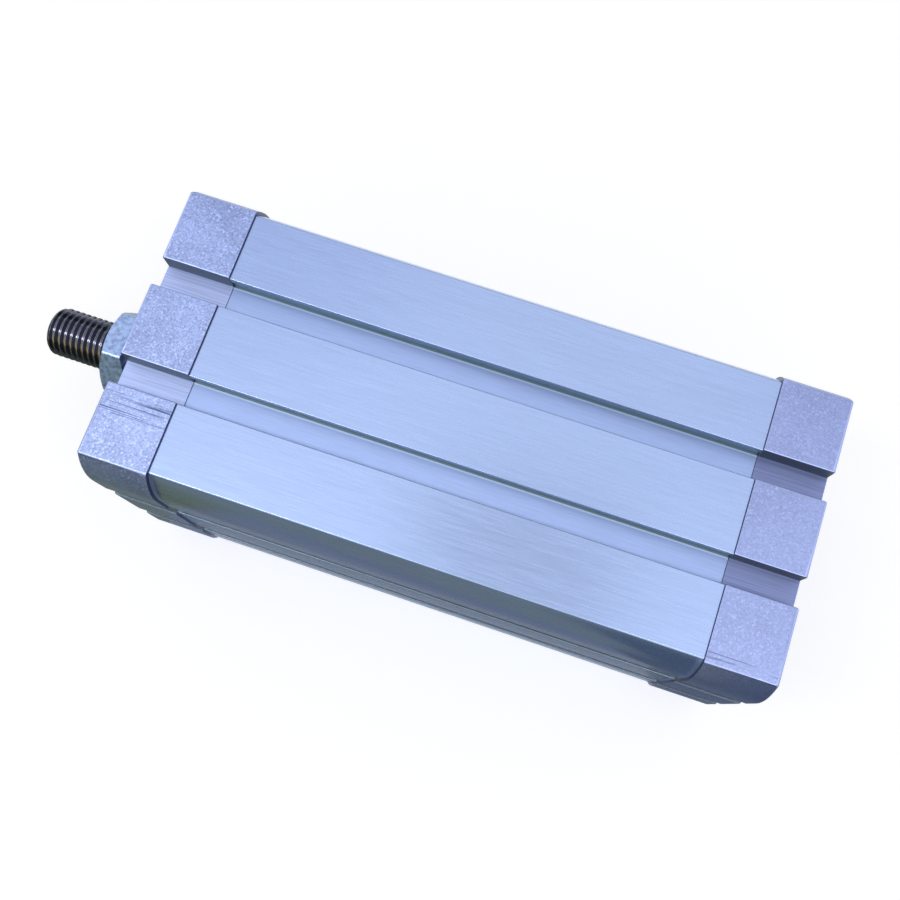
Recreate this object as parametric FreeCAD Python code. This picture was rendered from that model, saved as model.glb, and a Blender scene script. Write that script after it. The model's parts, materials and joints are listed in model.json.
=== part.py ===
import FreeCAD, Part
import math
import os

# Compact pneumatic cylinder. Millimetres, +X along the rod's way out, +Z up.
# The origin is the centre of the rod cap's outer face; the body lies along -X.

os.makedirs("parts", exist_ok=True)

Vector = FreeCAD.Vector
AXIS = Vector(1, 0, 0)

# Working sizes
BORE = 40.0
STROKE = 80.0
END_GAP = 0.2
RUN_CLEARANCE = 0.04

# Caps and barrel
CAP_SIDE = 57.5
CAP_LENGTH = 12.9
CAP_STEP = 0.5
CAP_EDGE = 0.6
SIDE_CROWN = 2.9
CROWN_HEIGHT = 10.0
SPIGOT_LENGTH = 3.0
SPIGOT_CLEARANCE = 0.05

# Sensor slots, two in every side
SLOT_OFFSET = 9.6
SLOT_OPENING = 5.3
SLOT_INNER = 6.0
SLOT_LIP = 1.5
BARREL_SLOT_DEPTH = 3.6
CAP_GROOVE_DEPTH = 4.0

# Corner screws with a hollow collar head
SCREW_SPACING = 38.0
SCREW_HEAD_R = 4.8
SCREW_HEAD_LENGTH = 9.4
SCREW_SHANK_R = 3.0
SCREW_GRIP = 12.0
MOUNT_HOLE_R = 2.5
MOUNT_HOLE_DEPTH = 8.0
SCREW_CHAMFER = 0.4

# Air ports and their passages
PORT_R = 4.3
PORT_DEPTH = 8.0
PASSAGE_R = 1.6
PASSAGE_OFFSET = 15.2

# Rod with its thread and nut
ROD_R = 6.0
ROD_SHOULDER = 8.4
ROD_CHAMFER = 0.6
ROD_HOLE_PLAY = 0.5
FLAT_WIDTH = 10.0
FLAT_LENGTH = 6.0
THREAD_R = 5.0
THREAD_PITCH = 1.25
THREAD_LENGTH = 19.0
THREAD_TIP_R = 1.8
NUT_FLATS = 16.0
NUT_HEIGHT = 5.0
NUT_TURN = 21.8
NUT_TAPER = 30.0

# Guiding and sealing of the rod in its cap
BUSH_LENGTH = 6.0
BUSH_WALL = 1.5
WIPER_WIDTH = 3.0
WIPER_WALL = 3.0
SEAL_WIDTH = 3.0
SEAL_WALL = 2.5

# Rings between caps and barrel, and the elastic buffers
RING_WIDTH = 1.8
RING_HEIGHT = 1.4
BUFFER_PROUD = 1.0
BUFFER_SEAT = 1.2
BUFFER_INNER_R = 8.8
BUFFER_OUTER_R = 13.0
CENTRING_R = 4.5
CENTRING_DEPTH = 2.1

# Piston, clamped on the rod's spigot by a screw from the rear
PISTON_LENGTH = 10.8
PISTON_PLAY = 0.15
MAGNET_WIDTH = 2.6
MAGNET_WALL = 4.0
GUIDE_BAND_WALL = 3.0
PISTON_SEAL_WIDTH = 2.2
PISTON_SEAL_HEIGHT = 3.0
PISTON_LAND = 1.2
PISTON_SPIGOT_R = 4.0
PISTON_RING_WIDTH = 1.4
PISTON_RING_HEIGHT = 1.1
SCREW_POCKET_R = 6.0
SCREW_POCKET_DEPTH = 3.4
PISTON_SCREW_HEAD_R = 5.4
PISTON_SCREW_HEAD = 2.8
PISTON_SCREW_R = 2.0
PISTON_SCREW_LENGTH = 14.0

# Positions along the axis that follow from the sizes
BORE_R = BORE / 2
CHAMBER = PISTON_LENGTH + STROKE + 2 * END_GAP
BARREL_LENGTH = CHAMBER + 2 * BUFFER_PROUD + 2 * SPIGOT_LENGTH
BARREL_FRONT = -CAP_LENGTH
BARREL_REAR = BARREL_FRONT - BARREL_LENGTH
REAR_FACE = BARREL_REAR - CAP_LENGTH
FRONT_SPIGOT_END = BARREL_FRONT - SPIGOT_LENGTH
REAR_SPIGOT_END = BARREL_REAR + SPIGOT_LENGTH
PISTON_REAR = REAR_SPIGOT_END + BUFFER_PROUD + END_GAP
PISTON_FRONT = PISTON_REAR + PISTON_LENGTH
PISTON_MIDDLE = (PISTON_REAR + PISTON_FRONT) / 2
BARREL_SIDE = CAP_SIDE - 2 * CAP_STEP
SLOT_FLOOR = BARREL_SIDE / 2 - BARREL_SLOT_DEPTH
GROOVE_FLOOR = CAP_SIDE / 2 - CAP_GROOVE_DEPTH
SPIGOT_R = BORE_R - SPIGOT_CLEARANCE
PISTON_R = BORE_R - PISTON_PLAY
RUNNING_R = BORE_R - RUN_CLEARANCE
MAGNET_OUTER_R = RUNNING_R - GUIDE_BAND_WALL
MAGNET_INNER_R = MAGNET_OUTER_R - MAGNET_WALL
ROD_GUIDE_R = ROD_R + RUN_CLEARANCE
ROD_TIP = ROD_SHOULDER + THREAD_LENGTH
NUT_FRONT = ROD_SHOULDER + NUT_HEIGHT
PITCH_R = THREAD_R - 0.32476 * THREAD_PITCH


def bar(x0, x1, radius, y=0.0, z=0.0):
    """Round bar along X from x0 to x1."""
    return Part.makeCylinder(radius, x1 - x0, Vector(x0, y, z), AXIS)


def tube(x0, x1, inner, outer):
    """Ring or tube along X from x0 to x1."""
    return bar(x0, x1, outer).cut(bar(x0, x1, inner))


def block(x0, x1, y0, y1, z0, z1):
    """Box between two corners."""
    return Part.makeBox(x1 - x0, y1 - y0, z1 - z0, Vector(x0, y0, z0))


def at(y, z):
    """Point in the plane across the axis."""
    return Vector(0, y, z)


def crown(y_sign, z_sign, half):
    """Arc from the edge of a flat side round to where the next side is upright."""
    radius = (SIDE_CROWN ** 2 + CROWN_HEIGHT ** 2) / (2 * SIDE_CROWN)
    turn = math.asin(CROWN_HEIGHT / radius) / 2
    bend = half - CROWN_HEIGHT
    middle_y = half - radius * (1 - math.cos(turn))
    middle_z = bend + radius * math.sin(turn)
    start = at(y_sign * (half - SIDE_CROWN), z_sign * half)
    middle = at(y_sign * middle_y, z_sign * middle_z)
    return Part.Arc(start, middle, at(y_sign * half, z_sign * bend)).toShape()


def section(inset):
    """Outline across the axis: flat above and below, with crowned sides; inset makes it smaller all round."""
    half = CAP_SIDE / 2 - inset
    edges = [crown(y, z, half) for y in (-1, 1) for z in (-1, 1)]
    for sign in (-1, 1):
        flat, bend = half - SIDE_CROWN, half - CROWN_HEIGHT
        edges.append(Part.makeLine(at(-flat, sign * half), at(flat, sign * half)))
        edges.append(Part.makeLine(at(sign * half, -bend), at(sign * half, bend)))
    return Part.Wire(Part.sortEdges(edges)[0])


def body_bar(x0, x1, inset):
    """Bar along X with the body's outline."""
    bar_shape = Part.Face(section(inset)).extrude(AXIS * (x1 - x0))
    bar_shape.translate(AXIS * x0)
    return bar_shape


def edges_at(shape, x):
    """The edges that lie in the plane at x."""
    return [e for e in shape.Edges if all(abs(v.X - x) < 1e-6 for v in e.Vertexes)]


def four_sides(shape):
    """The shape and its copies on the other three sides."""
    copies = []
    for turn in range(4):
        copy = shape.copy()
        copy.rotate(Vector(), AXIS, 90 * turn)
        copies.append(copy)
    return copies


def corners():
    """Centres of the four corner screws, as (y, z)."""
    half = SCREW_SPACING / 2
    return [(y, z) for y in (-half, half) for z in (-half, half)]


def channels(x0, x1, width, low, high):
    """Straight channels for both slots of every side, between two heights above the axis."""
    pair = []
    for y in (-SLOT_OFFSET, SLOT_OFFSET):
        pair += four_sides(block(x0, x1, y - width / 2, y + width / 2, low, high))
    return pair


def barrel():
    """Extruded barrel with bore, screw holes and T-slots."""
    body = body_bar(BARREL_REAR, BARREL_FRONT, CAP_STEP)
    lip_inner = BARREL_SIDE / 2 - SLOT_LIP
    cuts = [bar(BARREL_REAR, BARREL_FRONT, BORE_R)]
    cuts += channels(BARREL_REAR, BARREL_FRONT, SLOT_OPENING, SLOT_FLOOR, CAP_SIDE)
    cuts += channels(BARREL_REAR, BARREL_FRONT, SLOT_INNER, SLOT_FLOOR, lip_inner)
    cuts += [bar(BARREL_REAR, BARREL_FRONT, SCREW_SHANK_R, y, z) for y, z in corners()]
    return body.cut(cuts).removeSplitter()


def cap_blank(outer, inner, spigot_end):
    """Cap block with rounded outer edges, grooves and a spigot; outer and inner are its end faces."""
    low, high = min(outer, inner), max(outer, inner)
    body = body_bar(low, high, 0.0)
    body = body.makeFillet(CAP_EDGE, edges_at(body, outer))
    body = body.cut(channels(low, high, SLOT_OPENING, GROOVE_FLOOR, CAP_SIDE))
    spigot = bar(min(inner, spigot_end), max(inner, spigot_end), SPIGOT_R)
    return body.fuse(spigot).removeSplitter()


def ring_seat(spigot_end, inner):
    """Groove round a spigot, in the middle of its length."""
    middle = (spigot_end + inner) / 2
    return tube(middle - RING_WIDTH / 2, middle + RING_WIDTH / 2, SPIGOT_R - RING_HEIGHT, BORE_R)


def screw_seats(outer, inward):
    """Stepped holes for the collar screws of one cap; inward is the way in along X."""
    seat = outer + inward * SCREW_HEAD_LENGTH
    end = outer + inward * CAP_LENGTH
    cuts = []
    for y, z in corners():
        cuts.append(bar(min(outer, seat), max(outer, seat), SCREW_HEAD_R, y, z))
        cuts.append(bar(min(seat, end), max(seat, end), SCREW_SHANK_R, y, z))
    return cuts


def port(x, spigot_end):
    """Port in the -Y side with its passage to the chamber."""
    mouth = -CAP_SIDE / 2
    bottom = mouth + PORT_DEPTH
    into = Vector(0, 1, 0)
    hole = Part.makeCylinder(PORT_R, PORT_DEPTH, Vector(x, mouth, 0), into)
    cross = Part.makeCylinder(PASSAGE_R, -PASSAGE_OFFSET - bottom, Vector(x, bottom, 0), into)
    elbow = Part.makeSphere(PASSAGE_R, Vector(x, -PASSAGE_OFFSET, 0))
    long_way = bar(min(x, spigot_end), max(x, spigot_end), PASSAGE_R, -PASSAGE_OFFSET)
    return [hole, cross, elbow, long_way]


def buffer_seat(spigot_end, inward):
    """Ring-shaped seat for a buffer in a spigot's end face; inward points into the cap."""
    bottom = spigot_end + inward * BUFFER_SEAT
    return tube(min(spigot_end, bottom), max(spigot_end, bottom), BUFFER_INNER_R, BUFFER_OUTER_R)


def buffer_ring(spigot_end, inward):
    """Elastic buffer that stands proud of a spigot's end face."""
    bottom = spigot_end + inward * BUFFER_SEAT
    top = spigot_end - inward * BUFFER_PROUD
    return tube(min(bottom, top), max(bottom, top), BUFFER_INNER_R, BUFFER_OUTER_R)


def rod_cap():
    """Cap at the rod's end, bored for wiper, seal and bush."""
    body = cap_blank(0, BARREL_FRONT, FRONT_SPIGOT_END)
    cuts = [bar(FRONT_SPIGOT_END, 0, ROD_R + ROD_HOLE_PLAY)]
    cuts.append(bar(-WIPER_WIDTH, 0, ROD_R + WIPER_WALL))
    cuts.append(bar(-WIPER_WIDTH - SEAL_WIDTH, -WIPER_WIDTH, ROD_R + SEAL_WALL))
    cuts.append(bar(FRONT_SPIGOT_END, FRONT_SPIGOT_END + BUSH_LENGTH, ROD_R + BUSH_WALL))
    cuts += screw_seats(0, -1)
    cuts += port(-CAP_LENGTH / 2, FRONT_SPIGOT_END)
    cuts.append(ring_seat(FRONT_SPIGOT_END, BARREL_FRONT))
    cuts.append(buffer_seat(FRONT_SPIGOT_END, 1))
    return body.cut(cuts)


def rear_cap():
    """Closed cap at the rear, with a centring recess in its outer face."""
    body = cap_blank(REAR_FACE, BARREL_REAR, REAR_SPIGOT_END)
    cuts = [bar(REAR_FACE, REAR_FACE + CENTRING_DEPTH, CENTRING_R)]
    cuts += screw_seats(REAR_FACE, 1)
    cuts += port(REAR_FACE + CAP_LENGTH / 2, REAR_SPIGOT_END)
    cuts.append(ring_seat(REAR_SPIGOT_END, BARREL_REAR))
    cuts.append(buffer_seat(REAR_SPIGOT_END, -1))
    return body.cut(cuts)


def collar_screw(y, z):
    """One collar screw at the rod end, its head flush with the cap's outer face."""
    head = bar(-SCREW_HEAD_LENGTH, 0, SCREW_HEAD_R, y, z)
    head = head.makeChamfer(SCREW_CHAMFER, edges_at(head, 0))
    shank = bar(-CAP_LENGTH - SCREW_GRIP, -SCREW_HEAD_LENGTH, SCREW_SHANK_R, y, z)
    hole = bar(-MOUNT_HOLE_DEPTH, 0, MOUNT_HOLE_R, y, z)
    return head.fuse(shank).removeSplitter().cut(hole)


def rod_cap_screws():
    """The four collar screws of the rod cap."""
    return Part.makeCompound([collar_screw(y, z) for y, z in corners()])


def rear_cap_screws():
    """The four collar screws of the rear cap."""
    screws = rod_cap_screws()
    return screws.mirror(Vector(REAR_FACE / 2, 0, 0), AXIS)


def rod_bush():
    """Plain bearing bush of the rod."""
    return tube(FRONT_SPIGOT_END, FRONT_SPIGOT_END + BUSH_LENGTH, ROD_GUIDE_R, ROD_R + BUSH_WALL)


def rod_wiper():
    """Wiper at the mouth of the rod cap."""
    return tube(-WIPER_WIDTH, 0, ROD_GUIDE_R, ROD_R + WIPER_WALL)


def rod_seal():
    """Pressure seal behind the wiper."""
    return tube(-WIPER_WIDTH - SEAL_WIDTH, -WIPER_WIDTH, ROD_GUIDE_R, ROD_R + SEAL_WALL)


def cap_ring(spigot_end, inner):
    """Static ring between a spigot and the bore."""
    middle = (spigot_end + inner) / 2
    return tube(middle - RING_WIDTH / 2, middle + RING_WIDTH / 2, SPIGOT_R - RING_HEIGHT, BORE_R)


def wrench_flats():
    """The two pieces cut from the rod for its wrench flats, just behind the shoulder."""
    x0, x1 = ROD_SHOULDER - FLAT_LENGTH, ROD_SHOULDER
    upper = block(x0, x1, -ROD_R, ROD_R, FLAT_WIDTH / 2, ROD_R)
    lower = block(x0, x1, -ROD_R, ROD_R, -ROD_R, -FLAT_WIDTH / 2)
    return [upper, lower]


def piston_rod():
    """Rod with wrench flats, thread (at its pitch radius under the nut), piston spigot and tapped rear end."""
    spigot_end = PISTON_REAR + SCREW_POCKET_DEPTH
    shaft = bar(PISTON_FRONT, ROD_SHOULDER, ROD_R)
    shaft = shaft.makeChamfer(ROD_CHAMFER, edges_at(shaft, ROD_SHOULDER))
    thread = bar(NUT_FRONT, ROD_TIP, THREAD_R)
    thread = thread.makeFillet(THREAD_TIP_R, edges_at(thread, ROD_TIP))
    engaged = bar(ROD_SHOULDER, NUT_FRONT, PITCH_R)
    spigot = bar(spigot_end, PISTON_FRONT, PISTON_SPIGOT_R)
    tapped = bar(spigot_end, spigot_end + PISTON_SCREW_LENGTH, PISTON_SCREW_R)
    return shaft.fuse([engaged, thread, spigot]).removeSplitter().cut(wrench_flats() + [tapped])


def lock_nut():
    """Thin hexagon nut run back against the rod's shoulder, its corners turned off at both ends."""
    corner_r = NUT_FLATS / 3 ** 0.5
    hexagon = Part.makePolygon(hexagon_points(ROD_SHOULDER, corner_r))
    prism = Part.Face(hexagon).extrude(AXIS * NUT_HEIGHT)
    turned = nut_cone(ROD_SHOULDER, AXIS).common(nut_cone(NUT_FRONT, -AXIS))
    nut = prism.common(turned).cut(bar(ROD_SHOULDER, NUT_FRONT, PITCH_R))
    nut.rotate(Vector(), AXIS, -NUT_TURN)
    return nut


def nut_cone(x, way):
    """Cone that widens from the nut's face at x, and so turns off the corners there."""
    widest = NUT_FLATS / 2 + NUT_HEIGHT / math.tan(math.radians(NUT_TAPER))
    return Part.makeCone(NUT_FLATS / 2, widest, NUT_HEIGHT, Vector(x, 0, 0), way)


def hexagon_points(x, corner_r):
    """Closed hexagon in the plane at x, one corner straight up."""
    up = Vector(x, 0, corner_r)
    points = []
    for corner in range(7):
        turn = FreeCAD.Rotation(AXIS, 60 * corner)
        points.append(turn.multVec(up))
    return points


def piston_half(x0, x1, seal_middle):
    """One half of the piston with its seal groove and half of the magnet's seat."""
    half = tube(x0, x1, PISTON_SPIGOT_R, PISTON_R)
    seal0, seal1 = seal_middle - PISTON_SEAL_WIDTH / 2, seal_middle + PISTON_SEAL_WIDTH / 2
    groove = tube(seal0, seal1, RUNNING_R - PISTON_SEAL_HEIGHT, BORE_R)
    seat = tube(PISTON_MIDDLE - MAGNET_WIDTH / 2, PISTON_MIDDLE + MAGNET_WIDTH / 2, MAGNET_INNER_R, BORE_R)
    return half.cut([groove, seat])


def front_seal_middle():
    """Place of the front piston seal."""
    return PISTON_FRONT - PISTON_LAND - PISTON_SEAL_WIDTH / 2


def rear_seal_middle():
    """Place of the rear piston seal."""
    return PISTON_REAR + PISTON_LAND + PISTON_SEAL_WIDTH / 2


def piston_ring_start():
    """Start of the groove for the ring between rod and piston."""
    return PISTON_FRONT - PISTON_LAND - PISTON_RING_WIDTH


def piston_front():
    """Front half of the piston, with the groove for the ring on the rod's spigot."""
    x0 = piston_ring_start()
    half = piston_half(PISTON_MIDDLE, PISTON_FRONT, front_seal_middle())
    return half.cut(bar(x0, x0 + PISTON_RING_WIDTH, PISTON_SPIGOT_R + PISTON_RING_HEIGHT))


def piston_rear():
    """Rear half of the piston, with the pocket for the screw's head."""
    half = piston_half(PISTON_REAR, PISTON_MIDDLE, rear_seal_middle())
    return half.cut(bar(PISTON_REAR, PISTON_REAR + SCREW_POCKET_DEPTH, SCREW_POCKET_R))


def piston_seal(middle):
    """Piston seal that runs in the bore."""
    x0, x1 = middle - PISTON_SEAL_WIDTH / 2, middle + PISTON_SEAL_WIDTH / 2
    return tube(x0, x1, RUNNING_R - PISTON_SEAL_HEIGHT, RUNNING_R)


def middle_ring(inner, outer):
    """Ring in the seat between the piston's halves."""
    return tube(PISTON_MIDDLE - MAGNET_WIDTH / 2, PISTON_MIDDLE + MAGNET_WIDTH / 2, inner, outer)


def piston_o_ring():
    """Static ring between the rod's spigot and the piston."""
    x0 = piston_ring_start()
    return tube(x0, x0 + PISTON_RING_WIDTH, PISTON_SPIGOT_R, PISTON_SPIGOT_R + PISTON_RING_HEIGHT)


def piston_screw():
    """Screw that clamps the piston on the rod."""
    seat = PISTON_REAR + SCREW_POCKET_DEPTH
    head = bar(seat - PISTON_SCREW_HEAD, seat, PISTON_SCREW_HEAD_R)
    shank = bar(seat, seat + PISTON_SCREW_LENGTH, PISTON_SCREW_R)
    return head.fuse(shank).removeSplitter()


NODES = {
    "barrel": barrel(),
    "rod_cap": rod_cap(),
    "rear_cap": rear_cap(),
    "rod_cap_screws": rod_cap_screws(),
    "rear_cap_screws": rear_cap_screws(),
    "rod_bush": rod_bush(),
    "rod_wiper": rod_wiper(),
    "rod_seal": rod_seal(),
    "rod_cap_o_ring": cap_ring(FRONT_SPIGOT_END, BARREL_FRONT),
    "rear_cap_o_ring": cap_ring(REAR_SPIGOT_END, BARREL_REAR),
    "front_buffer": buffer_ring(FRONT_SPIGOT_END, 1),
    "rear_buffer": buffer_ring(REAR_SPIGOT_END, -1),
    "piston_rod": piston_rod(),
    "lock_nut": lock_nut(),
    "piston_front": piston_front(),
    "piston_rear": piston_rear(),
    "magnet_ring": middle_ring(MAGNET_INNER_R, MAGNET_OUTER_R),
    "guide_band": middle_ring(MAGNET_OUTER_R, RUNNING_R),
    "front_piston_seal": piston_seal(front_seal_middle()),
    "rear_piston_seal": piston_seal(rear_seal_middle()),
    "piston_o_ring": piston_o_ring(),
    "piston_screw": piston_screw(),
}

for name, shape in NODES.items():
    shape.exportStep("parts/" + name + ".step")
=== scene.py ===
import json
import math

import bpy
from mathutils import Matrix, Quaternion, Vector


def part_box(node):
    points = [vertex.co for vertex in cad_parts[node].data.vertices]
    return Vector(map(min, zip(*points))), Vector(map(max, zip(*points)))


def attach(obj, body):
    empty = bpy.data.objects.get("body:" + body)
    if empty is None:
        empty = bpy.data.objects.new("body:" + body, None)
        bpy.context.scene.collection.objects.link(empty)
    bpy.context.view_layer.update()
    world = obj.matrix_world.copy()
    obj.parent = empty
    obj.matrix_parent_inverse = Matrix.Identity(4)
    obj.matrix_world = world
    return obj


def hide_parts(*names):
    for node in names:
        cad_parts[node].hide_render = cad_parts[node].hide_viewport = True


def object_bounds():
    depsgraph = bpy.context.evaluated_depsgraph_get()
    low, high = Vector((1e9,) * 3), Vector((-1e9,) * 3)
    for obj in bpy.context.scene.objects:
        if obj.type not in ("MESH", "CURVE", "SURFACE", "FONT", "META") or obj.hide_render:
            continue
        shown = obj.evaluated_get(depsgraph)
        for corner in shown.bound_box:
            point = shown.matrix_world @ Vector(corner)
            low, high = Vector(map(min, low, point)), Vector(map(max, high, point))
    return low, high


# Looks of the compact pneumatic cylinder, in metres and in the part's frame.
# +X points out along the rod, +Z up and +Y to the near side.

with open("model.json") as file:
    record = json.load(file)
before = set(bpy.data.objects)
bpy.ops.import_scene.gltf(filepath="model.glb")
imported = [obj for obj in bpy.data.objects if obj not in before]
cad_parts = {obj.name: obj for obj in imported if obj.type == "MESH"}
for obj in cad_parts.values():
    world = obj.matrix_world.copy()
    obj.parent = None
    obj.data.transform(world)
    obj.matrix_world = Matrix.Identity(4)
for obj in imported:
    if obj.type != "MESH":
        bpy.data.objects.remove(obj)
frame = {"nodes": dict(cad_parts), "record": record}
cad_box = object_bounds()
nodes = frame["nodes"]

MM = 0.001

# Camera at the photograph's viewing angle
CAMERA_PLACE = Vector((-78.64, 44.75, 197.31)) * MM
CAMERA_AIM = Vector((-68.85, 7.93, 28.75)) * MM
CAMERA_ROLL = math.radians(3.64)
CAMERA_LENS = 40.36
CAMERA_SHIFT = (-0.0444, 0.0333)
CAMERA_CLIP = 10 * MM
SENSOR_WIDTH = 36.0

# Slots of the barrel and grooves of the caps
SLOT_OFFSET = 9.6 * MM
SLOT_MOUTH = 5.3 * MM
SLOT_REACH = 13.2 * MM
SLOT_RIM = 0.45 * MM
# Width of the painted highlight line along the slots' floors, beside the lips
SLOT_LINE = 0.3 * MM
SLOT_ROUGHNESS = 0.5

# Components of a normal that tell the ends, the slots' walls and the rounded edges with a painted highlight
# from the other faces
END_SHARE = 0.5
WALL_SHARE = 0.6
EDGE_HIGHLIGHT_SHARES = (0.58, 0.97)

# Range that holds most of a noise, its middle, and the places of three tones in a ramp over it
NOISE_RANGE = (0.3, 0.7)
NOISE_MIDDLE = 0.5
TONE_STOPS = (0.34, 0.5, 0.66)
STAIN_STOPS = (0.3, 0.55, 0.75)

# Barrel. Noise scales are per metre along each axis, and tones are shares of a colour.
# A bump is given by its height and its strength.
BARREL_COLOUR = (0.388, 0.503, 0.81)
BARREL_TONES = (0.93, 1.055)
BARREL_STREAKS = (150, 4300, 4300)
BARREL_CLOUDS = (14, 60, 60)
CLOUD_SHARE = 0.35
BARREL_ROUGHNESS = (0.235, 0.285)
BARREL_BUMP = (0.02 * MM, 0.10)
SLOT_COLOUR = (0.37, 0.48, 0.80)
SLOT_TONES = (0.90, 1.08)
# Tone of the painted highlight line along the slots' floors
SLOT_HIGHLIGHT_TONE = 1.5
# Painted shade on the slots' walls and on their floors under the lips
SLOT_WALL_SHADE_COLOUR = (0.20, 0.275, 0.33)

# Caps: blasted grain of a depth that differs from cap to cap, with patches, milled grooves and bright flecks
# that are painted glints
ROD_CAP_COLOUR = (0.318, 0.392, 0.675)
ROD_CAP_DEPTH = 0.40
ROD_GROOVE_COLOUR = (0.395, 0.475, 0.77)
REAR_CAP_COLOUR = (0.315, 0.378, 0.665)
REAR_CAP_DEPTH = 0.20
# The rear cap's grooves are painted darker than the rod cap's: a painted shade
REAR_GROOVE_SHADE_COLOUR = (0.212, 0.254, 0.47)
CAP_GRAIN = (2900, 2900, 2900)
CAP_PATCHES = (70, 70, 70)
PATCH_SHARE = 0.25
# Bright flecks on the grain: painted glints
FLECK_SCALE = 3300
FLECK_SHARE = 0.10
# Tone of the painted highlight on the caps' rounded edges
EDGE_HIGHLIGHT_TONE = 1.45
CAP_ROUGHNESS = (0.28, 0.46)
CAP_BUMP = (0.08 * MM, 0.6)
GROOVE_STREAKS = (60, 3200, 3200)
GROOVE_TONES = (0.86, 1.12)
# Painted shade on the walls of the grooves
GROOVE_WALL_SHADE_COLOUR = (0.10, 0.13, 0.15)

# Scratches on the top of the caps, in bands between two places across
ROD_CAP_SCRATCHES = (13.4 * MM, 17.6 * MM)
REAR_CAP_SCRATCHES = (23.6 * MM, 25.2 * MM)
SCRATCH_COLOUR = (0.10, 0.13, 0.26)
SCRATCH_LINES = (14, 1300, 1300)
SCRATCH_BREAKS = (110, 1400, 1400)
LINE_FADE = (0.015, 0.06)
BREAK_FADE = (0.40, 0.54)

# Joints of the caps and the barrel, beside which the barrel's sides are matt
JOINT_COLOUR = (0.10, 0.12, 0.20)
JOINT_REACH = 0.7 * MM
MATT_REACH = 2.2 * MM
MATT_ROUGHNESS = 0.6

# Turned and plated metals, with stains given by their scale and their darkest tone
RINGS = (9000, 120, 120)
RING_BUMP = (0.01 * MM, 0.15)
FAINT_STAINS = (160, 0.8)
NUT_GRAIN = (900, 900, 900)
NUT_STAINS = (1100, 0.55)
STAIN_LIGHT_TONE = 1.18

# Painted reflection of a warm colour, in a band along the rod's thread
WARM_REFLECTION_COLOUR = (0.26, 0.21, 0.10)
WARM_REFLECTION_ANGLE = math.radians(45)
WARM_REFLECTION_FADE = (0.935, 0.975)

# Moulded rubber and plastic
SKIN_GRAIN = (3000, 3000, 3000)
SKIN_CLOUDS = (120, 120, 120)
SKIN_TONES = (0.7, 1.3)
SKIN_BUMP = (0.02 * MM, 0.3)

# Rounded edges of the metal parts
BARREL_EDGE = 0.2 * MM
CAP_EDGE = 0.26 * MM
JOINT_EDGE_SHARE = 0.35
NUT_EDGE = 0.34 * MM
NUT_CORNER_R = 9.19 * MM
EDGE_SEGMENTS = 2
EDGE_ANGLE = math.radians(38)
SMOOTH_ANGLE = math.radians(32)
FLAT_ANGLE = math.radians(0.5)
WELD_DISTANCE = 0.002 * MM

# Thread form as shares of a half pitch, and the mesh rows in a pitch of the female threads
ROOT_SHARE = 0.2
FLANK_SHARE = 0.65
ROWS_PER_PITCH = 12

# Innermost ring of a round end face, as a share of its radius
END_RING_SHARE = 0.6

# Rod and its thread
ROD_R = 6.0 * MM
ROD_CHAMFER = 0.6 * MM
ROD_FLATS = 5.0 * MM
ROD_FLAT_LENGTH = 6.0 * MM
ROD_FLAT_STEP = 0.01 * MM
ROD_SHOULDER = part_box("lock_nut")[0][0]
ROD_FLAT_START = ROD_SHOULDER - ROD_FLAT_LENGTH
ROD_SPIGOT_R = 4.0 * MM
THREAD_R = 5.0 * MM
THREAD_PITCH = 1.25 * MM
THREAD_DEPTH = 0.767 * MM
THREAD_TIP_R = 1.8 * MM
ROD_ROWS_PER_PITCH = 24
ROD_STEPS = 96

# Collar screws
SCREW_SPACING = 38.0 * MM
SCREW_HEAD_R = 4.8 * MM
SCREW_HEAD_LENGTH = 9.4 * MM
SCREW_SHANK_R = 3.0 * MM
SCREW_LENGTH = 24.9 * MM
SCREW_BORE_R = 2.5 * MM
SCREW_BORE_DEPTH = 8.0 * MM
SCREW_PITCH = 1.0 * MM
SCREW_GROOVE = 0.45 * MM
SCREW_CHAMFER = 0.4 * MM
SCREW_STEPS = 48

# Air ports
PORT_R = 4.3 * MM
PORT_DEPTH = 8.0 * MM
PORT_PITCH = 0.907 * MM
PORT_RIDGE = 0.4 * MM
PORT_ENTRY = 0.3 * MM
PORT_END_GAP = 0.1 * MM
PORT_CLEARANCE = 0.02 * MM
PORT_STEPS = 56

# Floor and surroundings
FLOOR_REACH = 3.0
FLOOR_COLOUR = (0.82, 0.82, 0.82, 1.0)
FLOOR_ROUGHNESS = 0.9
FLOOR_GLOW = 0.5
WHITE = (1.0, 1.0, 1.0, 1.0)
BLACK = (0.0, 0.0, 0.0, 1.0)
FILL_LIGHT = 0.45

# Cards that show only in reflections, on the floor and upright round the object
CARD_COLOUR = (0.26, 0.285, 0.24)
LOW_CARD_COLOUR = (0.215, 0.24, 0.275)
ROD_CARD_COLOUR = (0.19, 0.225, 0.14)
REAR_CARD_COLOUR = (0.11, 0.135, 0.165)
CARD_GAP = 1.0 * MM
CARD_REACH = 330 * MM
LOW_CARD_REACH = 45 * MM
REAR_CARD_SHIFT = 13 * MM
FRONT_CARD_HEIGHT = 100 * MM
BACK_CARD_HEIGHT = 180 * MM
END_CARD_HEIGHT = 40 * MM

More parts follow.
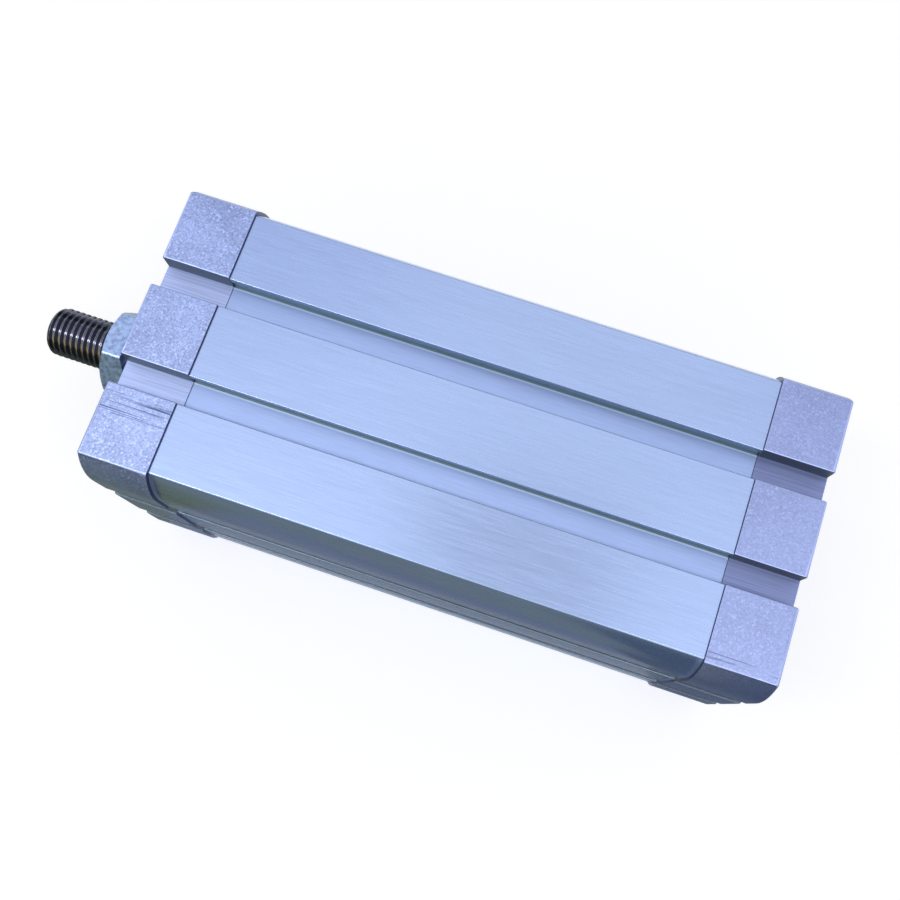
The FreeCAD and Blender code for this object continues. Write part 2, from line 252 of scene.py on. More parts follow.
# Cards overhead as opposite corners, the last one from the camera's place
OVERHEAD = 700 * MM
LEFT_FAR_CARD = ((120 * MM, -800 * MM, OVERHEAD), (750 * MM, -220 * MM, OVERHEAD))
RIGHT_FAR_CARD = ((-800 * MM, -800 * MM, OVERHEAD), (-280 * MM, -220 * MM, OVERHEAD))
FAR_CARD_COLOUR = (0.77, 0.79, 0.88)
SPARK_CARD = ((225 * MM, 166 * MM, OVERHEAD), (525 * MM, 266 * MM, OVERHEAD))
SPARK_CARD_COLOUR = (11, 11, 11)
UPPER_CARD = (Vector((-34, -75, 0)) * MM, Vector((36, 40, 0)) * MM)
UPPER_CARD_COLOUR = (0.75, 0.75, 0.75)


def new_material(name):
    """Node material with its tree and its Principled shader."""
    material = bpy.data.materials.new(name)
    material.use_nodes = True
    tree = material.node_tree
    return material, tree, tree.nodes["Principled BSDF"]


def add_node(tree, kind, **inputs):
    """Node with the given input values."""
    node = tree.nodes.new(kind)
    for name, value in inputs.items():
        node.inputs[name].default_value = value
    return node


def put(tree, socket, value):
    """Gives a socket a number or a colour, or links another socket to it."""
    if isinstance(value, bpy.types.NodeSocket):
        tree.links.new(value, socket)
    elif isinstance(value, tuple):
        socket.default_value = (*value, 1.0)
    else:
        socket.default_value = value


def math_node(tree, operation, first, second=0.0):
    """Result of a math node on two values or sockets."""
    node = tree.nodes.new("ShaderNodeMath")
    node.operation = operation
    put(tree, node.inputs[0], first)
    put(tree, node.inputs[1], second)
    return node.outputs[0]


def magnitude(tree, value):
    """Absolute value."""
    return math_node(tree, "ABSOLUTE", value)


def signed(tree, value, by):
    """Value with the sign turned where another value is negative."""
    return math_node(tree, "MULTIPLY", value, math_node(tree, "SIGN", by))


def is_less(tree, value, limit):
    """Mask of the places where a value is below a limit."""
    return math_node(tree, "LESS_THAN", value, limit)


def is_more(tree, value, limit):
    """Mask of the places where a value is above a limit."""
    return math_node(tree, "GREATER_THAN", value, limit)


def larger(tree, first, second):
    """The larger of two values."""
    return math_node(tree, "MAXIMUM", first, second)


def smaller(tree, first, second):
    """The smaller of two values."""
    return math_node(tree, "MINIMUM", first, second)


def times(tree, first, *others):
    """Product of values, or what masks have in common."""
    for other in others:
        first = math_node(tree, "MULTIPLY", first, other)
    return first


def mean(tree, first, second, share):
    """Value between two sockets, with the second one's share."""
    return math_node(tree, "ADD", times(tree, first, 1 - share), times(tree, second, share))


def choose(tree, switch, first, second):
    """The first value where the switch is 0, the second where it is 1."""
    node = tree.nodes.new("ShaderNodeMix")
    for name, value in (("Factor", switch), ("A", first), ("B", second)):
        put(tree, node.inputs[name], value)
    return node.outputs["Result"]


def blend(tree, factor, first, second):
    """Colour between two colours, each a socket or three numbers."""
    node = tree.nodes.new("ShaderNodeMix")
    node.data_type = "RGBA"
    for name, value in (("Factor", factor), ("A", first), ("B", second)):
        put(tree, node.inputs[name], value)
    return node.outputs["Result"]


def stretched_noise(tree, scale, detail=3.0, roughness=0.55):
    """Noise in the part's own coordinates, with a scale per metre for each axis."""
    place = tree.nodes.new("ShaderNodeTexCoord")
    mapping = add_node(tree, "ShaderNodeMapping", Scale=scale)
    tree.links.new(place.outputs["Object"], mapping.inputs["Vector"])
    noise = add_node(tree, "ShaderNodeTexNoise", Scale=1.0, Detail=detail, Roughness=roughness)
    tree.links.new(mapping.outputs["Vector"], noise.inputs["Vector"])
    return noise.outputs["Fac"]


def spread(tree, value, target, source=NOISE_RANGE):
    """Value carried from a source range, by default most of a noise's, to a target range."""
    node = tree.nodes.new("ShaderNodeMapRange")
    node.inputs["From Min"].default_value, node.inputs["From Max"].default_value = source
    node.inputs["To Min"].default_value, node.inputs["To Max"].default_value = target
    tree.links.new(value, node.inputs["Value"])
    return node.outputs["Result"]


def ramp(tree, value, places, colours):
    """Colour ramp over a value, with a colour at each of the places."""
    node = tree.nodes.new("ShaderNodeValToRGB")
    elements = node.color_ramp.elements
    while len(elements) < len(places):
        elements.new(0.5)
    for element, place, colour in zip(elements, places, colours):
        element.position = place
        element.color = (*colour, 1.0)
    tree.links.new(value, node.inputs["Fac"])
    return node.outputs["Color"]


def shade(colour, factor):
    """Colour times a factor."""
    return tuple(min(channel * factor, 1.0) for channel in colour)


def around(colour, low, high):
    """A darker tone of a colour, the colour itself and a lighter tone."""
    return shade(colour, low), colour, shade(colour, high)


def bump(tree, value, height, strength, shader):
    """Bump from a noise value on the shader's normal."""
    node = add_node(tree, "ShaderNodeBump", Distance=height, Strength=strength)
    tree.links.new(value, node.inputs["Height"])
    tree.links.new(node.outputs["Normal"], shader.inputs["Normal"])


def place_parts(tree, output):
    """The three components of the part's own coordinates or normal."""
    place = tree.nodes.new("ShaderNodeTexCoord")
    parts = tree.nodes.new("ShaderNodeSeparateXYZ")
    tree.links.new(place.outputs[output], parts.inputs[0])
    return parts.outputs


def slot_masks(tree, node):
    """Masks of the slots and of only their walls and undersides, which get a painted shade, without outer
    faces and ends.
    """
    place, normal = place_parts(tree, "Object"), place_parts(tree, "Normal")
    across, upward = magnitude(tree, place["Y"]), magnitude(tree, place["Z"])
    below = is_less(tree, larger(tree, across, upward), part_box(node)[1][2] - SLOT_RIM)
    middle = is_less(tree, smaller(tree, across, upward), SLOT_REACH)
    side = is_less(tree, magnitude(tree, normal["X"]), END_SHARE)
    inside = times(tree, side, below, middle)
    sideways, upright = signed(tree, normal["Y"], place["Y"]), signed(tree, normal["Z"], place["Z"])
    outward = choose(tree, is_more(tree, upward, across), sideways, upright)
    # Walls, and below them the floors under the lips, get a painted shade
    painted_shade = times(tree, middle, side, is_less(tree, outward, WALL_SHARE))
    underside = times(tree, inside, beyond_middle(tree, SLOT_MOUTH / 2))
    return inside, larger(tree, painted_shade, underside)


def beyond_middle(tree, distance):
    """Mask of the places further than a distance from the middle of the slots."""
    place = place_parts(tree, "Object")
    across = smaller(tree, magnitude(tree, place["Y"]), magnitude(tree, place["Z"]))
    from_middle = magnitude(tree, math_node(tree, "SUBTRACT", across, SLOT_OFFSET))
    return is_more(tree, from_middle, distance)


def joint_distance(tree, along):
    """Distance along the axis from the nearer joint of a cap and the barrel."""
    rear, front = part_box("barrel")[0][0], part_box("barrel")[1][0]
    from_middle = magnitude(tree, math_node(tree, "SUBTRACT", along, (front + rear) / 2))
    return magnitude(tree, math_node(tree, "SUBTRACT", from_middle, (front - rear) / 2))


def joint_mask(tree):
    """Mask of the faces and edges that meet where a cap joins the barrel."""
    distance = joint_distance(tree, place_parts(tree, "Object")["X"])
    facing = is_more(tree, magnitude(tree, place_parts(tree, "Normal")["X"]), END_SHARE)
    return times(tree, is_less(tree, distance, JOINT_REACH), facing)


def matt_rim(tree):
    """Roughness of the barrel's sides beside the joints, highest at the joint."""
    place = place_parts(tree, "Object")
    low = is_less(tree, magnitude(tree, place["Z"]), cad_box[1][2] - JOINT_REACH)
    fading = spread(tree, joint_distance(tree, place["X"]), (MATT_ROUGHNESS, 0.0), source=(0.0, MATT_REACH))
    return times(tree, low, fading)


def scratches(tree, band):
    """Mask of fine broken scratch lines along the axis, in a band of the top."""
    lines = stretched_noise(tree, SCRATCH_LINES, detail=1, roughness=0.5)
    offset = magnitude(tree, math_node(tree, "SUBTRACT", lines, NOISE_MIDDLE))
    drawn = spread(tree, offset, (1.0, 0.0), source=LINE_FADE)
    broken = spread(tree, stretched_noise(tree, SCRATCH_BREAKS), (0.0, 1.0), source=BREAK_FADE)
    place = place_parts(tree, "Object")
    top = is_more(tree, place["Z"], cad_box[1][2] - SLOT_RIM)
    within = times(tree, is_more(tree, place["Y"], band[0]), is_less(tree, place["Y"], band[1]))
    return times(tree, top, within, drawn, broken)


def highlighted_edges(tree):
    """Mask of the rounded edges of the top and the underside, where the normal turns away from upright, for a
    painted highlight.
    """
    upright = magnitude(tree, place_parts(tree, "Normal")["Z"])
    least, most = EDGE_HIGHLIGHT_SHARES
    return times(tree, is_more(tree, upright, least), is_less(tree, upright, most))


def flecks(tree):
    """Mask of bright flecks, painted glints: cells of a fine mosaic, of which only a share is painted bright.
    """
    place = tree.nodes.new("ShaderNodeTexCoord")
    cells = add_node(tree, "ShaderNodeTexVoronoi", Scale=FLECK_SCALE)
    tree.links.new(place.outputs["Object"], cells.inputs["Vector"])
    tone = tree.nodes.new("ShaderNodeSeparateColor")
    tree.links.new(cells.outputs["Color"], tone.inputs["Color"])
    return is_less(tree, tone.outputs["Red"], FLECK_SHARE)


def barrel_metal():
    """Drawn and anodised aluminium with fine streaks along the barrel, with a painted shade on the walls of
    the slots and under their lips, and a painted highlight line on their floors beside it.
    """
    material, tree, shader = new_material("barrel_anodised")
    streaks = stretched_noise(tree, BARREL_STREAKS, detail=5)
    mixed = mean(tree, streaks, stretched_noise(tree, BARREL_CLOUDS, detail=2), CLOUD_SHARE)
    outer = ramp(tree, mixed, TONE_STOPS, around(BARREL_COLOUR, *BARREL_TONES))
    inner = ramp(tree, mixed, TONE_STOPS, around(SLOT_COLOUR, *SLOT_TONES))
    # Painted highlight line along the slots' floors where they pass under the lips, as of a rounded corner
    line = beyond_middle(tree, SLOT_MOUTH / 2 - SLOT_LINE)
    inner = blend(tree, line, inner, shade(SLOT_COLOUR, SLOT_HIGHLIGHT_TONE))
    inside, painted_shade = slot_masks(tree, "barrel")
    # Painted shade on the slots' walls and on their floors under the lips
    colour = blend(tree, painted_shade, blend(tree, inside, outer, inner), SLOT_WALL_SHADE_COLOUR)
    put(tree, shader.inputs["Base Color"], blend(tree, joint_mask(tree), colour, JOINT_COLOUR))
    matt = larger(tree, matt_rim(tree), times(tree, inside, SLOT_ROUGHNESS))
    put(tree, shader.inputs["Roughness"], larger(tree, spread(tree, streaks, BARREL_ROUGHNESS), matt))
    shader.inputs["Metallic"].default_value = 1.0
    bump(tree, streaks, *BARREL_BUMP, shader)
    return material


def cap_metal(node, colour, groove_colour, grain_depth, band):
    """Die cast aluminium, blasted to a grain with bright flecks painted as glints, with milled grooves and a
    band of scratches, a painted shade on the grooves' walls and a painted highlight on the rounded edges.
    """
    material, tree, shader = new_material(node + "_blasted")
    grain = stretched_noise(tree, CAP_GRAIN, detail=4, roughness=0.72)
    outer = blasted_skin(tree, grain, colour, grain_depth)
    outer = blend(tree, scratches(tree, band), outer, SCRATCH_COLOUR)
    # The rounded edges of the top and underside are painted lighter: a painted highlight
    outer = blend(tree, highlighted_edges(tree), outer, shade(colour, EDGE_HIGHLIGHT_TONE))
    streaks = stretched_noise(tree, GROOVE_STREAKS, detail=4)
    inner = ramp(tree, streaks, TONE_STOPS, around(groove_colour, *GROOVE_TONES))
    inside, painted_shade = slot_masks(tree, node)
    # Painted shade on the walls of the grooves
    skin = blend(tree, painted_shade, blend(tree, inside, outer, inner), GROOVE_WALL_SHADE_COLOUR)
    put(tree, shader.inputs["Base Color"], blend(tree, joint_mask(tree), skin, JOINT_COLOUR))
    matt = times(tree, inside, SLOT_ROUGHNESS)
    put(tree, shader.inputs["Roughness"], larger(tree, spread(tree, grain, CAP_ROUGHNESS), matt))
    shader.inputs["Metallic"].default_value = 1.0
    height, strength = CAP_BUMP
    bump(tree, grain, height, strength * grain_depth, shader)
    return material


def blasted_skin(tree, grain, colour, depth):
    """Colour of a cap's outer faces, with patches in the grain and bright flecks on it, which are painted
    glints.
    """
    mixed = mean(tree, grain, stretched_noise(tree, CAP_PATCHES, detail=3), PATCH_SHARE)
    skin = ramp(tree, mixed, TONE_STOPS, around(colour, 1 - depth, 1 + depth))
    return blend(tree, flecks(tree), skin, shade(colour, 1 + depth))


def turned_metal(name, colour, roughness, metallic=1.0, grain=RINGS, stains=FAINT_STAINS, tint=None):
    """Turned or plated metal with stains and a grain, by default of rings round the axis."""
    material, tree, shader = new_material(name)
    rings = stretched_noise(tree, grain, detail=3)
    scale, darkest = stains
    stain = stretched_noise(tree, (scale, scale, scale), detail=4)
    skin = ramp(tree, stain, STAIN_STOPS, around(colour, darkest, STAIN_LIGHT_TONE))
    put(tree, shader.inputs["Base Color"], tint(tree, skin) if tint else skin)
    put(tree, shader.inputs["Roughness"], spread(tree, rings, roughness))
    shader.inputs["Metallic"].default_value = metallic
    bump(tree, rings, *RING_BUMP, shader)
    return material


def painted_warm_reflection(tree, steel):
    """Steel's colour with a painted warm reflection in a band along the side of the thread that faces up and
    to the near side.
    """
    normal = place_parts(tree, "Normal")
    across = times(tree, normal["Y"], math.cos(WARM_REFLECTION_ANGLE))
    facing = math_node(tree, "ADD", across, times(tree, normal["Z"], math.sin(WARM_REFLECTION_ANGLE)))
    on_thread = is_more(tree, place_parts(tree, "Object")["X"], ROD_SHOULDER)
    band = times(tree, on_thread, spread(tree, facing, (0.0, 1.0), source=WARM_REFLECTION_FADE))
    return blend(tree, band, steel, WARM_REFLECTION_COLOUR)


def moulded(name, colour, roughness):
    """Moulded rubber or plastic with a fine skin grain."""
    material, tree, shader = new_material(name)
    grain = stretched_noise(tree, SKIN_GRAIN)
    clouds = stretched_noise(tree, SKIN_CLOUDS)
    colours = [shade(colour, tone) for tone in SKIN_TONES]
    put(tree, shader.inputs["Base Color"], ramp(tree, clouds, NOISE_RANGE, colours))
    put(tree, shader.inputs["Roughness"], spread(tree, grain, roughness))
    bump(tree, grain, *SKIN_BUMP, shader)
    return material


def paint(name, material):
    """Gives a CAD node its material."""
    materials = nodes[name].data.materials
    materials.clear()
    materials.append(material)


def edge_marks(name, beyond):
    """Modifier tree that marks the sharp convex edges beyond a radius, with a small share at the joints."""
    tree = bpy.data.node_groups.new(name, "GeometryNodeTree")
    for way in ("INPUT", "OUTPUT"):
        tree.interface.new_socket("Geometry", in_out=way, socket_type="NodeSocketGeometry")
    place = tree.nodes.new("GeometryNodeInputPosition")
    parts = tree.nodes.new("ShaderNodeSeparateXYZ")
    tree.links.new(place.outputs[0], parts.inputs[0])
    angle = tree.nodes.new("GeometryNodeInputMeshEdgeAngle").outputs["Signed Angle"]
    squares = [times(tree, parts.outputs[axis], parts.outputs[axis]) for axis in "YZ"]
    reached = is_more(tree, math_node(tree, "ADD", *squares), beyond ** 2)
    apart = is_more(tree, joint_distance(tree, parts.outputs["X"]), WELD_DISTANCE)
    share = larger(tree, apart, JOINT_EDGE_SHARE)
    store = add_node(tree, "GeometryNodeStoreNamedAttribute", Name="bevel_weight_edge")
    store.domain = "EDGE"
    put(tree, store.inputs["Value"], times(tree, reached, is_more(tree, angle, EDGE_ANGLE), share))
    tree.links.new(tree.nodes.new("NodeGroupInput").outputs[0], store.inputs["Geometry"])
    tree.links.new(store.outputs[0], tree.nodes.new("NodeGroupOutput").inputs[0])
    return tree


def soften(name, width, marks):
    """Joins the flat faces of a CAD node and rounds its marked edges a little."""
    node = nodes[name]
    weld = node.modifiers.new("weld", "WELD")
    weld.merge_threshold = WELD_DISTANCE
    join = node.modifiers.new("flat_faces", "DECIMATE")
    join.decimate_type = "DISSOLVE"
    join.angle_limit = FLAT_ANGLE
    node.modifiers.new("marks", "NODES").node_group = marks
    bevel = node.modifiers.new("edges", "BEVEL")
    bevel.width = width
    bevel.segments = EDGE_SEGMENTS
    bevel.limit_method = "WEIGHT"
    bevel.harden_normals = True
    bevel.use_clamp_overlap = False


def new_piece(name, points, faces, body, material):
    """Smooth mesh piece that rides on a body."""
    mesh = bpy.data.meshes.new(name)
    mesh.from_pydata(points, [], faces)
    mesh.update()
    mesh.materials.append(material)
    mesh.shade_smooth()
    piece = bpy.data.objects.new(name, mesh)
    bpy.context.scene.collection.objects.link(piece)
    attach(piece, body)
    return piece


def turn(steps):
    """Angles of equal steps round a full turn."""
    return [math.tau * step / steps for step in range(steps)]


def tube_faces(rows, steps):
    """Corner numbers of the faces between rings of equal length, row by row."""
    faces = []
    for row in range(rows - 1):
        for step in range(steps):
            a, b = row * steps + step, row * steps + (step + 1) % steps
            faces.append((a, b, b + steps, a + steps))
    return faces


def rings_to_mesh(rings):
    """Points and faces of a closed skin through rings of equal length, with caps at both ends."""
    steps = len(rings[0])
    points = [point for ring in rings for point in ring]
    faces = tube_faces(len(rings), steps)
    faces.append(tuple(reversed(range(steps))))
    faces.append(tuple(range(len(points) - steps, len(points))))
    return points, faces


def thread_height(x, angle, pitch):
    """Height of a right-hand thread at a place along its axis: 0 in the root, 1 on the crest."""
    phase = (x / pitch - angle / math.tau) % 1.0
    rise = abs(2 * phase - 1)
    return min(max((rise - ROOT_SHARE) / FLANK_SHARE, 0.0), 1.0)


def rod_rows(rear, tip):
    """Places along the rod with the greatest radius there, and whether the thread is cut there."""
    piston_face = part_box("piston_front")[1][0]
    rows = [(rear, END_RING_SHARE * ROD_SPIGOT_R, False), (rear, ROD_SPIGOT_R, False)]
    rows += [(piston_face, ROD_SPIGOT_R, False), (piston_face, ROD_R, False)]
    rows += [(ROD_FLAT_START, ROD_R, False), (ROD_FLAT_START + ROD_FLAT_STEP, ROD_R, False)]
    rows += [(ROD_SHOULDER - ROD_CHAMFER, ROD_R, False), (ROD_SHOULDER, ROD_R - ROD_CHAMFER, False)]
    count = round((tip - ROD_SHOULDER) / THREAD_PITCH * ROD_ROWS_PER_PITCH)
    for row in range(count + 1):
        x = ROD_SHOULDER + (tip - ROD_SHOULDER) * row / count
        rows.append((x, tip_limit(x, tip), True))
    return rows


def tip_limit(x, tip):
    """Greatest radius of the thread at a place along it, less near the rounded tip."""
    beyond = max(x - (tip - THREAD_TIP_R), 0.0)
    return THREAD_R - THREAD_TIP_R + math.sqrt(max(THREAD_TIP_R ** 2 - beyond ** 2, 0.0))


def rod_point(x, limit, cut, angle):
    """Point of the rod's skin."""
    radius = limit
    if cut:
        depth = THREAD_DEPTH * (1 - thread_height(x, angle, THREAD_PITCH))
        radius = min(limit, THREAD_R - depth)
    y, z = radius * math.cos(angle), radius * math.sin(angle)
    if ROD_FLAT_START < x <= ROD_SHOULDER:
        z = min(max(z, -ROD_FLATS), ROD_FLATS)
    return (x, y, z)


def make_rod(material):
    """Piston rod with wrench flats and a real helical thread."""
    low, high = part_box("piston_rod")
    rows = rod_rows(low[0], high[0])
    rings = [[rod_point(*row, angle) for angle in turn(ROD_STEPS)] for row in rows]
    points, faces = rings_to_mesh(rings)
    rod = new_piece("threaded_rod", points, faces, "rod", material)
    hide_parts("piston_rod")
    rod.data.set_sharp_from_angle(angle=SMOOTH_ANGLE)


def screw_profile():
    """Outline of a collar screw from its tip round to the bottom of its bore, as (depth, radius, cut)."""
    outline = [(SCREW_LENGTH, END_RING_SHARE * SCREW_SHANK_R, False), (SCREW_LENGTH, SCREW_SHANK_R, False)]
    outline += [(SCREW_HEAD_LENGTH, SCREW_SHANK_R, False), (SCREW_HEAD_LENGTH, SCREW_HEAD_R, False)]
    outline += [(SCREW_CHAMFER, SCREW_HEAD_R, False), (0.0, SCREW_HEAD_R - SCREW_CHAMFER, False)]
    outline += [(0.0, SCREW_BORE_R + SCREW_GROOVE, False)]
    count = round(SCREW_BORE_DEPTH / SCREW_PITCH * ROWS_PER_PITCH)
    outline += [(SCREW_BORE_DEPTH * row / count, SCREW_BORE_R, True) for row in range(count + 1)]
    return outline


def screw_point(depth, radius, cut, angle):
    """Point of a screw's skin as (depth, across, up)."""
    if cut:
        groove = SCREW_GROOVE * thread_height(depth, angle, SCREW_PITCH)
        radius = max(radius + groove, SCREW_BORE_R + SCREW_GROOVE - depth)
    return (depth, radius * math.cos(angle), radius * math.sin(angle))


def make_screws(node, outer, inward, material):
    """The four collar screws of one cap, from its outer face inward."""
    rings = [[screw_point(*row, angle) for angle in turn(SCREW_STEPS)] for row in screw_profile()]
    skin, skin_faces = rings_to_mesh(rings)
    points, faces = [], []
    half = SCREW_SPACING / 2
    for y in (-half, half):
        for z in (-half, half):
            faces += [tuple(len(points) + corner for corner in face) for face in skin_faces]
            points += [(outer + inward * depth, y + across, z + up) for depth, across, up in skin]
    piece = new_piece(node + "_threaded", points, faces, "housing", material)
    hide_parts(node)
    piece.data.set_sharp_from_angle(angle=SMOOTH_ANGLE)


def port_radius(depth, angle):
    """Radius inside a port's thread, whose ridge rises over the first pitch."""
    entry = min(1.0, (depth - PORT_ENTRY) / PORT_PITCH)
    return PORT_R - PORT_CLEARANCE - PORT_RIDGE * entry * thread_height(depth, angle, PORT_PITCH)


def make_port_thread(name, mount, material):
    """Thread ridges inside the air port of a mount."""
    x = mount_place(mount)[0]
    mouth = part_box("rod_cap")[0][1]
    length = PORT_DEPTH - PORT_ENTRY - PORT_END_GAP
    count = round(PORT_DEPTH / PORT_PITCH * ROWS_PER_PITCH)
    points = []
    for row in range(count + 1):
        depth = PORT_ENTRY + length * row / count
        for angle in turn(PORT_STEPS):
            radius = port_radius(depth, angle)
            points.append((x + radius * math.cos(angle), mouth + depth, radius * math.sin(angle)))
    faces = [(a, d, c, b) for a, b, c, d in tube_faces(count + 1, PORT_STEPS)]
    piece = new_piece(name, points, faces, "housing", material)


def mount_place(name):
    """Place of one of the record's mounts."""
    return next(mount["pos_m"] for mount in frame["record"]["mounts"] if mount["name"] == name)


def panel(low, high):
    """Corners of a flat or an upright rectangle between two opposite corners."""
    (x0, y0, z0), (x1, y1, z1) = low, high
    if z0 == z1:
        return [(x0, y0, z0), (x1, y0, z0), (x1, y1, z0), (x0, y1, z0)]
    return [(x0, y0, z0), (x1, y1, z0), (x1, y1, z1), (x0, y0, z1)]


def stage_panels(name, panels, material):
    """Rectangles of the stage, in one object."""
    mesh = bpy.data.meshes.new(name)
    points = [corner for corners in panels for corner in corners]
    faces = [tuple(range(first, first + 4)) for first in range(0, len(points), 4)]
    mesh.from_pydata(points, [], faces)
    mesh.materials.append(material)
    holder = bpy.data.objects.new(name, mesh)
    bpy.context.scene.collection.objects.link(holder)
    return holder


def seen_rays(tree, strength):
    """Strength for rays from the camera and for those seen in metal or glass, and nothing for the rest."""
    path = tree.nodes.new("ShaderNodeLightPath").outputs
    reflected = larger(tree, path["Is Camera Ray"], path["Is Glossy Ray"])
    return times(tree, larger(tree, reflected, path["Is Transmission Ray"]), strength)


def make_floor():
    """Plain white floor that keeps the object's shadow."""
    low = cad_box[0][2]
    material, tree, shader = new_material("floor_white")
    shader.inputs["Base Color"].default_value = FLOOR_COLOUR
    shader.inputs["Roughness"].default_value = FLOOR_ROUGHNESS
    shader.inputs["Specular IOR Level"].default_value = 0.0
    shader.inputs["Emission Color"].default_value = WHITE
    put(tree, shader.inputs["Emission Strength"], seen_rays(tree, FLOOR_GLOW))
    corners = panel((-FLOOR_REACH, -FLOOR_REACH, low), (FLOOR_REACH, FLOOR_REACH, low))
    stage_panels("floor", [corners], material)


def make_world():
    """White surroundings as seen, and a plain soft fill as light."""
    world = bpy.data.worlds.new("studio")
    bpy.context.scene.world = world
    world.use_nodes = True
    tree = world.node_tree
    background = tree.nodes["Background"]
    background.inputs["Color"].default_value = WHITE
    put(tree, background.inputs["Strength"], larger(tree, seen_rays(tree, 1.0), FILL_LIGHT))


def hang_cards(name, cards, colour):
    """Rectangles that shine in a colour, and that only reflections show."""
    material, _, shader = new_material(name + "_grey")
    shader.inputs["Base Color"].default_value = BLACK
    shader.inputs["Specular IOR Level"].default_value = 0.0
    shader.inputs["Emission Color"].default_value = (*colour, 1.0)
    shader.inputs["Emission Strength"].default_value = 1.0
    holder = stage_panels(name, cards, material)
    holder.visible_camera = False
    holder.visible_diffuse = False
    holder.visible_shadow = False


def make_low_cards():
    """Dark cards on the floor in front of the object and below its rod, and upright ones all round."""
    low, high = Vector(cad_box[0]), Vector(cad_box[1])
    floor = low.z + CARD_GAP
    left, right = low.x - CARD_REACH, high.x + CARD_REACH
    back, front = low.y - CARD_REACH, high.y + CARD_REACH
    near, split = high.y + CARD_GAP, high.y + LOW_CARD_REACH
    joint, rod_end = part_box("barrel")[0][0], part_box("rod_cap")[1][0]
    rear = joint - REAR_CARD_SHIFT
    cards = [panel((rear, split, floor), (right, front, floor))]
    cards.append(panel((left, front, floor), (right, front, floor + FRONT_CARD_HEIGHT)))
    cards.append(panel((left, back, floor), (right, back, floor + BACK_CARD_HEIGHT)))
    cards += [panel((x, back, floor), (x, front, floor + END_CARD_HEIGHT)) for x in (left, right)]
    hang_cards("dark_cards", cards, CARD_COLOUR)
    hang_cards("low_card", [panel((joint, near, floor), (rod_end, split, floor))], LOW_CARD_COLOUR)
    hang_cards("rod_card", [panel((rod_end, low.y, floor), (right, split, floor))], ROD_CARD_COLOUR)
    rear_cards = [panel((left, near, floor), (joint, split, floor))]
    rear_cards.append(panel((left, split, floor), (rear, front, floor)))
    hang_cards("rear_cards", rear_cards, REAR_CARD_COLOUR)


def make_upper_cards():
    """Grey cards overhead that tone the top down, and a bright one that glints on the thread's crests."""
    hang_cards("left_far_card", [panel(*LEFT_FAR_CARD)], FAR_CARD_COLOUR)
    hang_cards("right_far_card", [panel(*RIGHT_FAR_CARD)], FAR_CARD_COLOUR)
    hang_cards("spark_card", [panel(*SPARK_CARD)], SPARK_CARD_COLOUR)
    corners = [CAMERA_PLACE + corner for corner in UPPER_CARD]
    hang_cards("upper_card", [panel(*corners)], UPPER_CARD_COLOUR)


def make_light(name, place, aim, size, power):
    """Soft rectangular light aimed at a point."""
    light = bpy.data.lights.new(name, "AREA")
    light.shape = "RECTANGLE"
    light.size, light.size_y = size
    light.energy = power
    lamp = bpy.data.objects.new(name, light)
    lamp.location = place
    lamp.rotation_euler = (Vector(aim) - Vector(place)).to_track_quat("-Z", "Y").to_euler()
    bpy.context.scene.collection.objects.link(lamp)


def make_camera():
    """Camera at the photograph's viewing angle."""
    data = bpy.data.cameras.new("camera")
    data.sensor_width = SENSOR_WIDTH
    data.lens = CAMERA_LENS
    data.shift_x, data.shift_y = CAMERA_SHIFT
    data.clip_start = CAMERA_CLIP
    camera = bpy.data.objects.new("camera", data)
    camera.location = CAMERA_PLACE
    level = (CAMERA_AIM - CAMERA_PLACE).to_track_quat("-Z", "Y")
    camera.rotation_euler = (level @ Quaternion((0, 0, 1), CAMERA_ROLL)).to_euler()
    bpy.context.scene.collection.objects.link(camera)
    bpy.context.scene.camera = camera
    bpy.context.scene.view_settings.view_transform = "Standard"


barrel_look = barrel_metal()
rod_cap_look = cap_metal("rod_cap", ROD_CAP_COLOUR, ROD_GROOVE_COLOUR, ROD_CAP_DEPTH, ROD_CAP_SCRATCHES)
rear_cap_look = cap_metal("rear_cap", REAR_CAP_COLOUR, REAR_GROOVE_SHADE_COLOUR, REAR_CAP_DEPTH, REAR_CAP_SCRATCHES)
screw_look = turned_metal("screw_zinc", colour=(0.50, 0.54, 0.60), roughness=(0.25, 0.40))
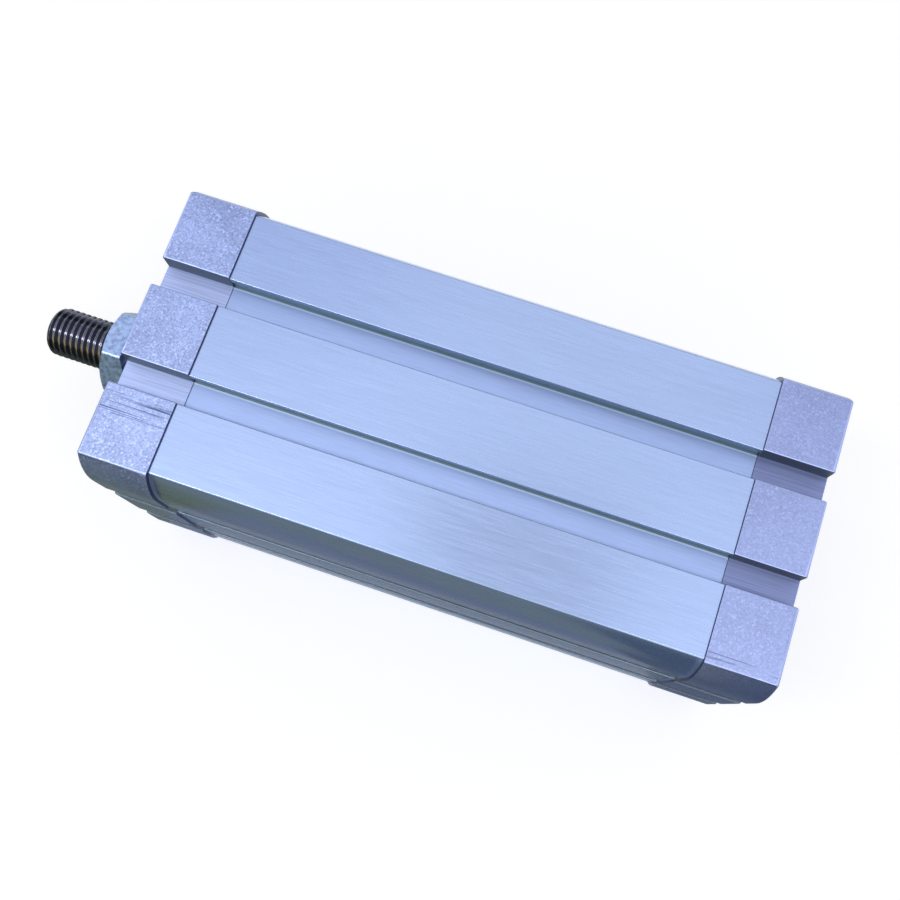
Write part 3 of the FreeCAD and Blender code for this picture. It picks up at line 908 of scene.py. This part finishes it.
# The rod's thread gets a painted warm reflection in a band
rod_look = turned_metal("rod_steel", colour=(0.15, 0.155, 0.20), roughness=(0.12, 0.22), tint=painted_warm_reflection)
nut_look = turned_metal("nut_zinc", colour=(0.43, 0.58, 0.91), roughness=(0.20, 0.36),
                        grain=NUT_GRAIN, stains=NUT_STAINS)
bronze_look = turned_metal("bush_bronze", colour=(0.62, 0.43, 0.20), roughness=(0.30, 0.45))
piston_look = turned_metal("piston_turned", colour=(0.70, 0.71, 0.74), roughness=(0.25, 0.40))
magnet_look = turned_metal("magnet_sintered", colour=(0.10, 0.10, 0.11), roughness=(0.50, 0.70), metallic=0.6)
rubber_look = moulded("seal_rubber", colour=(0.02, 0.02, 0.024), roughness=(0.45, 0.65))
buffer_look = moulded("buffer_rubber", colour=(0.05, 0.09, 0.12), roughness=(0.45, 0.65))
guide_look = moulded("guide_plastic", colour=(0.66, 0.62, 0.52), roughness=(0.40, 0.55))

looks = {
    "barrel": barrel_look, "rod_cap": rod_cap_look, "rear_cap": rear_cap_look, "lock_nut": nut_look,
    "rod_bush": bronze_look, "rod_wiper": rubber_look, "rod_seal": rubber_look,
    "rod_cap_o_ring": rubber_look, "rear_cap_o_ring": rubber_look,
    "front_buffer": buffer_look, "rear_buffer": buffer_look,
    "piston_front": piston_look, "piston_rear": piston_look, "magnet_ring": magnet_look,
    "guide_band": guide_look, "front_piston_seal": rubber_look, "rear_piston_seal": rubber_look,
    "piston_o_ring": rubber_look, "piston_screw": screw_look,
}
for node_name, look in looks.items():
    paint(node_name, look)

outer_edges = edge_marks("outer_edges", 0.0)
soften("barrel", BARREL_EDGE, outer_edges)
soften("rod_cap", CAP_EDGE, outer_edges)
soften("rear_cap", CAP_EDGE, outer_edges)
soften("lock_nut", NUT_EDGE, edge_marks("nut_corners", NUT_CORNER_R))

make_rod(rod_look)
make_screws("rod_cap_screws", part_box("rod_cap")[1][0], -1, screw_look)
make_screws("rear_cap_screws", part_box("rear_cap")[0][0], 1, screw_look)
make_port_thread("rod_end_port_thread", "rod_end_port", rod_cap_look)
make_port_thread("rear_end_port_thread", "rear_end_port", rear_cap_look)

make_floor()
make_world()
make_low_cards()
make_upper_cards()
make_light("softbox", place=(0.03, 0.02, 0.75), aim=(0.03, 0.02, 0.0), size=(0.95, 0.46), power=0.25)
make_light("strip", place=(-0.06, 0.18, 0.7), aim=(-0.06, 0.0, 0.0), size=(0.9, 0.12), power=1.2)
make_camera()
